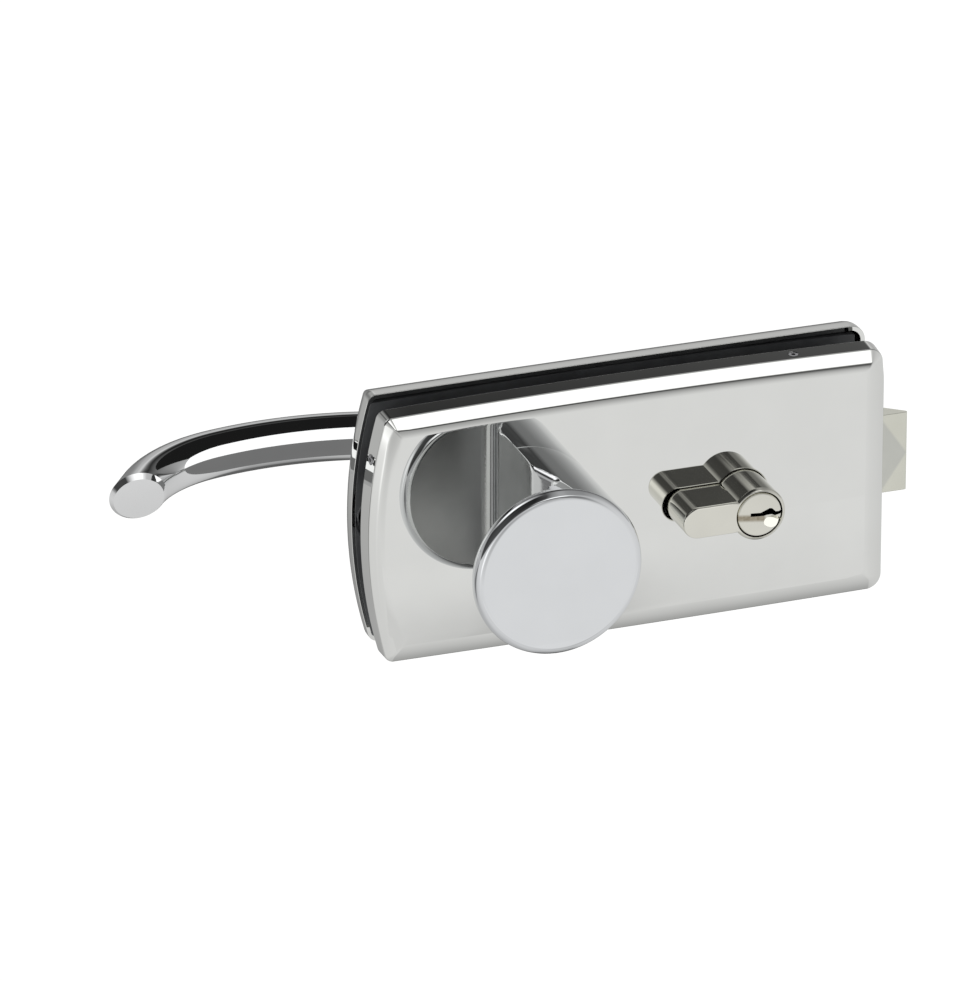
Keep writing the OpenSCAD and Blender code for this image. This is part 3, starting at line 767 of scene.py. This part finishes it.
# --------------------------------------------------- cylinder and its rotor
def eased_profile(big, small):
    """The outline moved in by big round the rotor and by small along the tail."""
    a, b = profile(-big), profile(-small)
    out = []
    for (xa, za), (xb, zb) in zip(a, b):
        w = smooth(CX - 7.5, CX - 5.5, xb)
        out.append((xb + (xa - xb) * w, zb + (za - zb) * w))
    return out


def make_cylinder():
    bm = bmesh.new()
    f, b = -CH, CH
    # offset at the rotor, offset at the tail, distance behind the end face
    edge = [(0.95, 0.3, 0.0), (0.80, 0.22, 0.05), (0.5, 0.12, 0.24), (0.22, 0.05, 0.48), (0.07, 0.0, 0.68), (0.0, 0.0, 0.95)]
    rings = [at_y(eased_profile(g, c), f + d) for g, c, d in edge]
    rings += [at_y(profile(0.0), -16), at_y(profile(0.0), 16)]
    rings += [at_y(eased_profile(g, c), b - d) for g, c, d in edge[::-1]]
    loft(bm, rings)
    n = 96

    def circle(r):
        return [(CX + r * math.cos(2 * math.pi * k / n), r * math.sin(2 * math.pi * k / n)) for k in range(n)]

    bore = [(7.52, f), (7.42, f + 0.05), (7.35, f + 0.3), (7.35, b - 0.3), (7.42, b - 0.05), (7.52, b)]
    loft(bm, [at_y(circle(r), y) for r, y in bore])
    for y in (f, b):
        plate(bm, eased_profile(0.95, 0.3), [circle(7.52)], y)
    ob = finish_mesh("cylinder_housing", bm, "lock", "satin_nickel", "cylinder_body")
    # the cam's slot, and the hole for the fixing screw
    bm = bmesh.new()
    lathe(bm, [(15.5, -5.1), (15.5, 5.1)], 128, (CX, 0.0))
    cut(ob, cutter_from(bm))
    cut(ob, bar_cutter((TX - 0.7, 0, -6), (TX - 0.7, 0, 6), 2.5))
    resharpen(ob)


def keyway_cut(y0, y1):
    """The stepped slot, upright on the rotor's face."""
    pts = [(-2.9, -0.3), (1.2, -0.62), (2.4, -0.4), (3.8, -0.4), (5.0, -0.9), (6.0, -0.75), (7.4, -0.3), (9.0, -0.2), (9.0, 1.0),
           (7.6, 1.0), (6.2, 0.3), (5.2, 0.35), (4.0, 1.55), (3.2, 1.7), (2.0, 1.2), (0.3, 0.55), (-2.9, 0.8)]
    bm = bmesh.new()
    vs = loft(bm, [[(CX + x, y, z) for x, z in pts] for y in (y0, y1)])
    bm.faces.new(vs[0])
    bm.faces.new(vs[1])
    return cutter_from(bm)


def key_ramp(s):
    """The sloping mouth under the slot, which leads the key in."""
    f = s * CH
    bm = bmesh.new()
    n = 64
    rim = [(4.1 + 2.7 * math.cos(2 * math.pi * j / n), -2.75 + 1.95 * math.sin(2 * math.pi * j / n)) for j in range(n)]
    slope = math.tan(math.radians(31))
    rings = [[(CX + x, f + s * 0.8, z) for x, z in rim],
             [(CX + x, f - s * (0.02 + (z + 4.7) * slope), z) for x, z in rim]]
    vs = loft(bm, rings)
    bm.faces.new(vs[0])
    bm.faces.new(vs[-1])
    return cutter_from(bm)


def make_plug(s, node, body):
    bm = bmesh.new()
    f = s * CH
    path = [(6.3, f), (6.72, f), (6.86, f - s * 0.06), (7.04, f - s * 0.32), (7.16, f - s * 0.7), (7.2, f - s * 1.1), (7.3, f - s * 1.6),
            (7.3, s * 16), (7.3, s * 5.1), (6.4, s * 5.1), (6.4, s * 4.4), (7.3, s * 4.4), (7.3, s * 4.2)]
    lathe(bm, path, 128, (CX, 0.0))
    ob = finish_mesh(node + "_turned", bm, body, "rotor_nickel", node)
    cut(ob, keyway_cut(min(s * 7, s * 31), max(s * 7, s * 31)))
    cut(ob, key_ramp(s))
    resharpen(ob)


make_cylinder()
make_plug(-1, "front_plug", "front_rotor")
make_plug(1, "rear_plug", "rear_rotor")


# ------------------------------------------------------------------ latch
def make_latch():
    """The bevelled head and its tail bar with its lugs, as one piece."""
    tip, f, b = 128.9, -5.5, 5.5
    z0, z1 = -10.4, 15.4
    bm = bmesh.new()
    c = 0.12
    plan = [(98, f), (tip - 0.75, f), (tip - 0.2, f + 0.12), (tip, f + 0.45), (tip, f + 0.9), (tip - 12.4, b), (98, b)]
    low = [(98, f + c), (tip - 0.8, f + c), (tip - 0.3, f + 0.2), (tip - c, f + 0.5), (tip - c, f + 0.9), (tip - 12.5, b - c), (98, b - c)]
    vs = loft(bm, [[(x, y, z) for x, y in ring] for ring, z in
                   ((low, z0), (plan, z0 + c), (plan, z1 - c), (low, z1))])
    bm.faces.new(vs[0])
    bm.faces.new(vs[-1])
    for x0, x1, za, zb in ((93.5, 98.5, 12, 25.5), (-8, 94, 20.5, 25.5), (-8, -3.2, 11, 21), (42, 45, 9.5, 21), (60, 64, 15.8, 21)):
        e = 0.25
        ring = [(x0 + e, -2), (x1 - e, -2), (x1, -2 + e), (x1, 2 - e), (x1 - e, 2), (x0 + e, 2), (x0, 2 - e), (x0, -2 + e)]
        v = loft(bm, [[(x, y, z) for x, y in ring] for z in (za, zb)])
        bm.faces.new(v[0])
        bm.faces.new(v[-1])
    n = 32
    stub = [[(x, r * math.cos(2 * math.pi * k / n), 13 + r * math.sin(2 * math.pi * k / n)) for k in range(n)]
            for x, r in ((36, 1.25), (36.25, 1.5), (42.5, 1.5))]
    v = loft(bm, stub)
    bm.faces.new(v[0])
    bm.faces.new(v[-1])
    return finish_mesh("latch_head", bm, "latch", "latch_nickel", "latch_bolt")


make_latch()


# ---------------------------------------------------------------- springs
def make_coil(name, node, x0, x1, z, turns=8, rm=2.3, rw=0.4):
    """A wound compression spring along X, its end turns closed."""
    steps, sides, close = turns * 26, 8, 0.9
    length = x1 - x0 - 2 * rw
    pitch = (length - 2 * close) / (turns - 2)
    rings = []
    for i in range(steps + 1):
        t = turns * i / steps
        x = close * min(t, 1) + pitch * min(max(t - 1, 0), turns - 2) + close * max(t - turns + 1, 0)
        a = 2 * math.pi * t
        ring = []
        for k in range(sides):
            b = 2 * math.pi * k / sides
            r = rm + rw * math.cos(b)
            ring.append((x0 + rw + x + rw * math.sin(b), r * math.cos(a), z + r * math.sin(a)))
        rings.append(ring)
    bm = bmesh.new()
    vs = loft(bm, rings)
    bm.faces.new(vs[0])
    bm.faces.new(vs[-1])
    ob = finish_mesh(name, bm, "lock", "spring_steel", node, angle=60, weighted=False)
    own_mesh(ob)
    return ob


make_coil("latch_coil", "latch_spring", 21.7, 41.9, 13)
make_coil("hub_coil", "hub_spring", 2.8, 23.9, -14)

# ------------------------------------------------------- other CAD nodes
for sub in frame["record"]["subparts"]:
    node, slot = sub["node"], sub["material_slot"]
    ob = frame["nodes"][node]
    mat = MATS[slot]
    if not ob.data.materials:
        ob.data.materials.append(mat)
    for k in range(len(ob.material_slots)):
        ob.material_slots[k].material = mat


# ---------------------------------------------------------- floor and light
def make_floor():
    bm = bmesh.new()
    z = -0.30
    vs = [bm.verts.new(p) for p in ((-8, -8, z), (8, -8, z), (8, 12, z), (-8, 12, z))]
    bm.faces.new(vs)
    me = bpy.data.meshes.new("floor")
    bm.to_mesh(me)
    bm.free()
    ob = bpy.data.objects.new("floor", me)
    scene.collection.objects.link(ob)
    m, nt, p = shader("floor_paper")
    vec = coords(nt)
    glow = ranged(nt, noise(nt, vec, 3.0), 1.03, 1.05)
    p.inputs["Base Color"].default_value = (0.06, 0.06, 0.06, 1)
    p.inputs["Roughness"].default_value = 0.9
    p.inputs["Specular IOR Level"].default_value = 0.0
    p.inputs["Emission Color"].default_value = (1.0, 1.0, 0.995, 1)
    nt.links.new(glow, p.inputs["Emission Strength"])
    me.materials.append(m)
    # the polished metal reflects the studio round it, not the paper
    ob.visible_glossy = False


make_floor()


def make_card(name, corners, tone, dip=None):
    """A card that only the polished metal sees; dip = (Z of no dip, Z of full dip, stops of (X, amount)) darkens it."""
    bm = bmesh.new()
    bm.faces.new([bm.verts.new((x * MM, y * MM, z * MM)) for x, y, z in corners[::-1]])
    me = bpy.data.meshes.new(name)
    bm.to_mesh(me)
    bm.free()
    ob = bpy.data.objects.new(name, me)
    scene.collection.objects.link(ob)
    m, nt, p = shader(name + "_paper")
    vec = coords(nt)
    value = ranged(nt, noise(nt, vec, 40.0), tone * 0.985, tone * 1.015)
    if dip:
        part = nt.nodes.new("ShaderNodeSeparateXYZ")
        nt.links.new(vec, part.inputs["Vector"])
        fz = nt.nodes.new("ShaderNodeMapRange")
        fz.interpolation_type = "SMOOTHSTEP"
        fz.inputs["From Min"].default_value = dip[0] * MM
        fz.inputs["From Max"].default_value = dip[1] * MM
        nt.links.new(part.outputs["Z"], fz.inputs["Value"])
        x0, x1 = dip[2][0][0], dip[2][-1][0]
        along = ranged(nt, part.outputs["X"], 0.0, 1.0, x0 * MM, x1 * MM)
        ramp = nt.nodes.new("ShaderNodeValToRGB")
        cr = ramp.color_ramp
        cr.interpolation = "EASE"
        for k, (x, v) in enumerate(dip[2]):
            e = cr.elements[k] if k < 2 else cr.elements.new(1.0)
            e.position = (x - x0) / (x1 - x0)
            e.color = (v, v, v, 1)
        nt.links.new(along, ramp.inputs["Fac"])
        both = nt.nodes.new("ShaderNodeMath")
        both.operation = "MULTIPLY"
        nt.links.new(fz.outputs["Result"], both.inputs[0])
        nt.links.new(ramp.outputs["Color"], both.inputs[1])
        keep = nt.nodes.new("ShaderNodeMath")
        keep.operation = "SUBTRACT"
        keep.inputs[0].default_value = 1.0
        nt.links.new(both.outputs[0], keep.inputs[1])
        mul = nt.nodes.new("ShaderNodeMath")
        mul.operation = "MULTIPLY"
        nt.links.new(value, mul.inputs[0])
        nt.links.new(keep.outputs[0], mul.inputs[1])
        value = mul.outputs[0]
    p.inputs["Base Color"].default_value = (0.0, 0.0, 0.0, 1)
    p.inputs["Roughness"].default_value = 1.0
    p.inputs["Specular IOR Level"].default_value = 0.0
    p.inputs["Emission Color"].default_value = (1, 1, 1, 1)
    nt.links.new(value, p.inputs["Emission Strength"])
    # the card shows from its front only
    side = nt.nodes.new("ShaderNodeNewGeometry")
    nt.links.new(ranged(nt, side.outputs["Backfacing"], 1.0, 0.0, 0.0, 1.0), p.inputs["Alpha"])
    me.materials.append(m)
    ob.visible_camera = False
    ob.visible_diffuse = False
    ob.visible_shadow = False


def across(x0, x1, y0, z0, y1, z1):
    return [(x0, y0, z0), (x1, y0, z0), (x1, y1, z1), (x0, y1, z1)]


# the face darkens a little towards its lower edge
make_card("card_low", across(-70, 170, -150, -140, -150, -72), 0.815,
          (-77, -101, [(0, 0.12), (19, 0.15), (31, 0.18), (42, 0.27), (60, 0.30), (78, 0.20), (110, 0.06), (170, 0.03)]))
# a pale card, a black one above it and a grey one below, which only the lever sees
make_card("card_lever", across(-91, -12, 45, 5, 45, 44), 1.3)
make_card("card_lever_top", across(-110, -5, 45, 44.5, 112, 60), 0.012)
make_card("card_lever_low", across(-91, -12, 45, -90, 45, 4.8), 0.20)


# Studio light by the angle about the X axis, 0 in front, 90 overhead and 180
# behind, in columns from left to right: a strip light in front, darker
# overhead, paler behind, grey below
BEHIND = [(145, 0.03), (148, 0.12), (151, 0.32), (153.5, 0.70), (155.5, 0.70), (158, 0.55), (165, 0.50), (175, 0.45)]
DIM = [(148, 0.12), (153, 0.42), (158, 0.25), (165, 0.18)]
COLUMNS = [
    (-0.78, [(-180, 0.50), (-152, 0.45), (-146, 0.19), (-118, 0.19), (-112, 0.52), (-60, 0.70), (-25, 0.75), (0, 0.72), (14, 0.60),
             (22, 0.08), (138, 0.04), (148, 0.30), (163, 0.45), (180, 0.50)]),
    (-0.62, [(-180, 0.50), (-100, 0.52), (-60, 0.70), (-32, 0.80), (-26, 0.86), (-19, 1.15), (-12, 1.30), (2, 1.30), (8, 0.90),
             (14, 0.50), (22, 0.08), (108, 0.04), (114, 0.90), (140, 0.90), (144, 0.20), (148, 0.30), (163, 0.45), (180, 0.50)]),
    (-0.52, [(-180, 0.50), (-100, 0.52), (-60, 0.70), (-25, 0.78), (-16, 0.80), (-6, 1.00), (6, 1.00), (14, 0.50), (20, 0.06), (108, 0.03),
             (114, 1.30), (142, 1.30), (146, 0.25), (165, 0.40), (180, 0.50)]),
    (-0.32, [(-180, 0.40), (-100, 0.52), (-60, 0.70), (-25, 0.78), (-10, 0.60), (0, 0.60), (10, 0.72), (17, 0.55), (22, 0.08), (50, 0.03),
             (108, 0.02), (114, 1.30), (142, 1.30), (146, 0.12)] + DIM + [(180, 0.40)]),
    (-0.10, [(-180, 0.30), (-154, 0.22), (-145, 0.50), (-100, 0.50), (-60, 0.66), (-25, 0.79), (-10, 0.50), (0, 0.40), (14, 0.60),
             (22, 0.45), (26, 0.07), (60, 0.02), (108, 0.02), (114, 0.50), (141, 0.50), (145, 0.06)] + DIM + [(180, 0.30)]),
    (0.10, [(-180, 0.25), (-150, 0.25), (-110, 0.40), (-60, 0.70), (-25, 0.80), (-12, 0.48), (-4, 0.42), (10, 0.55), (20, 0.80),
            (26, 0.60), (28, 0.07), (31, 0.07), (33, 1.00), (38, 1.00), (42, 0.15), (60, 0.05), (110, 0.10), (142, 0.02)] + DIM
     + [(180, 0.25)]),
    (0.20, [(-180, 0.20), (-150, 0.12), (-106, 0.12), (-93, 0.38), (-85, 0.43), (-60, 0.61), (-32, 0.76), (-25, 0.81), (-10, 0.62), (0, 0.52), (10, 0.45), (22, 0.40),
            (25, 0.06), (30, 0.06), (32, 1.35), (39, 1.35), (43, 0.30), (110, 0.25), (135, 0.05), (142, 0.02)] + BEHIND
     + [(180, 0.20)]),
    (0.312, [(-180, 0.20), (-150, 0.12), (-106, 0.12), (-93, 0.38), (-85, 0.43), (-60, 0.60), (-32, 0.75), (-25, 0.815), (-10, 0.68), (0, 0.57), (10, 0.47), (20, 0.38),
             (23, 0.06), (27.5, 0.06), (29.5, 0.35), (32, 1.35), (39, 1.35), (43, 0.42), (110, 0.40), (132, 0.05), (142, 0.01)]
     + BEHIND + [(180, 0.20)]),
    (0.385, [(-180, 0.25), (-150, 0.16), (-106, 0.14), (-93, 0.40), (-85, 0.45), (-60, 0.61), (-32, 0.76), (-25, 0.81), (-10, 0.70), (0, 0.58), (10, 0.38), (16, 0.18),
             (19, 0.06), (24, 0.06), (28, 0.25), (31, 0.45), (32.5, 1.35), (39, 1.35), (43, 0.40), (110, 0.38), (135, 0.05),
             (142, 0.01)] + BEHIND + [(180, 0.25)]),
    (0.43, [(-180, 0.40), (-150, 0.42), (-100, 0.55), (-60, 0.68), (-30, 0.78), (-20, 0.79), (-15, 0.72), (-9.5, 0.65), (-4, 0.50),
            (1.5, 0.40), (7, 0.31), (12, 0.22), (28, 0.20), (31, 0.30), (33, 1.00), (39, 1.00), (43, 0.35), (110, 0.33),
            (135, 0.08)] + BEHIND + [(180, 0.40)]),
    (0.52, [(-180, 0.50), (-150, 0.52), (-100, 0.62), (-60, 0.70), (-30, 0.78), (-20, 0.79), (-15, 0.72), (-9.5, 0.65), (-4, 0.50),
            (1.5, 0.40), (7, 0.31), (12, 0.24), (28, 0.25), (33, 0.60), (39, 0.60), (43, 0.32), (110, 0.30), (140, 0.10)] + BEHIND
     + [(180, 0.50)]),
    (0.65, [(-180, 0.55), (-150, 0.60), (-100, 0.68), (-60, 0.71), (-25, 0.77), (0, 0.72), (15, 0.62), (36, 0.55), (60, 0.30),
            (110, 0.28), (142, 0.12)] + BEHIND + [(180, 0.55)]),
    (0.85, [(-180, 0.60), (-150, 0.66), (-100, 0.70), (-60, 0.72), (-25, 0.75), (0, 0.72), (30, 0.65), (60, 0.50), (110, 0.35),
            (142, 0.22)] + BEHIND + [(180, 0.60)]),
]


def make_world():
    w = bpy.data.worlds.new("studio")
    scene.world = w
    w.use_nodes = True
    nt = w.node_tree
    bg = nt.nodes["Background"]
    tc = nt.nodes.new("ShaderNodeTexCoord")
    sep = nt.nodes.new("ShaderNodeSeparateXYZ")
    nt.links.new(tc.outputs["Generated"], sep.inputs["Vector"])
    neg = nt.nodes.new("ShaderNodeMath")
    neg.operation = "MULTIPLY"
    neg.inputs[1].default_value = -1.0
    nt.links.new(sep.outputs["Y"], neg.inputs[0])
    at = nt.nodes.new("ShaderNodeMath")
    at.operation = "ARCTAN2"
    nt.links.new(sep.outputs["Z"], at.inputs[0])
    nt.links.new(neg.outputs[0], at.inputs[1])
    mp = nt.nodes.new("ShaderNodeMapRange")
    mp.inputs["From Min"].default_value = -math.pi
    mp.inputs["From Max"].default_value = math.pi
    nt.links.new(at.outputs[0], mp.inputs["Value"])
    colour, last_x = None, None
    for x, stops in COLUMNS:
        ramp = nt.nodes.new("ShaderNodeValToRGB")
        cr = ramp.color_ramp
        while len(cr.elements) > 1:
            cr.elements.remove(cr.elements[-1])
        for k, (deg, v) in enumerate(stops):
            e = cr.elements[0] if k == 0 else cr.elements.new((deg + 180) / 360)
            e.position = (deg + 180) / 360
            e.color = (v, v, v, 1)
        nt.links.new(mp.outputs["Result"], ramp.inputs["Fac"])
        if colour is None:
            colour = ramp.outputs["Color"]
        else:
            side = nt.nodes.new("ShaderNodeMapRange")
            side.inputs["From Min"].default_value = last_x
            side.inputs["From Max"].default_value = x
            nt.links.new(sep.outputs["X"], side.inputs["Value"])
            mix = nt.nodes.new("ShaderNodeMix")
            mix.data_type = "RGBA"
            nt.links.new(side.outputs["Result"], mix.inputs["Factor"])
            nt.links.new(colour, mix.inputs[6])
            nt.links.new(ramp.outputs["Color"], mix.inputs[7])
            colour = mix.outputs[2]
        last_x = x
    nt.links.new(colour, bg.inputs["Color"])
    bg.inputs["Strength"].default_value = 1.0


make_world()
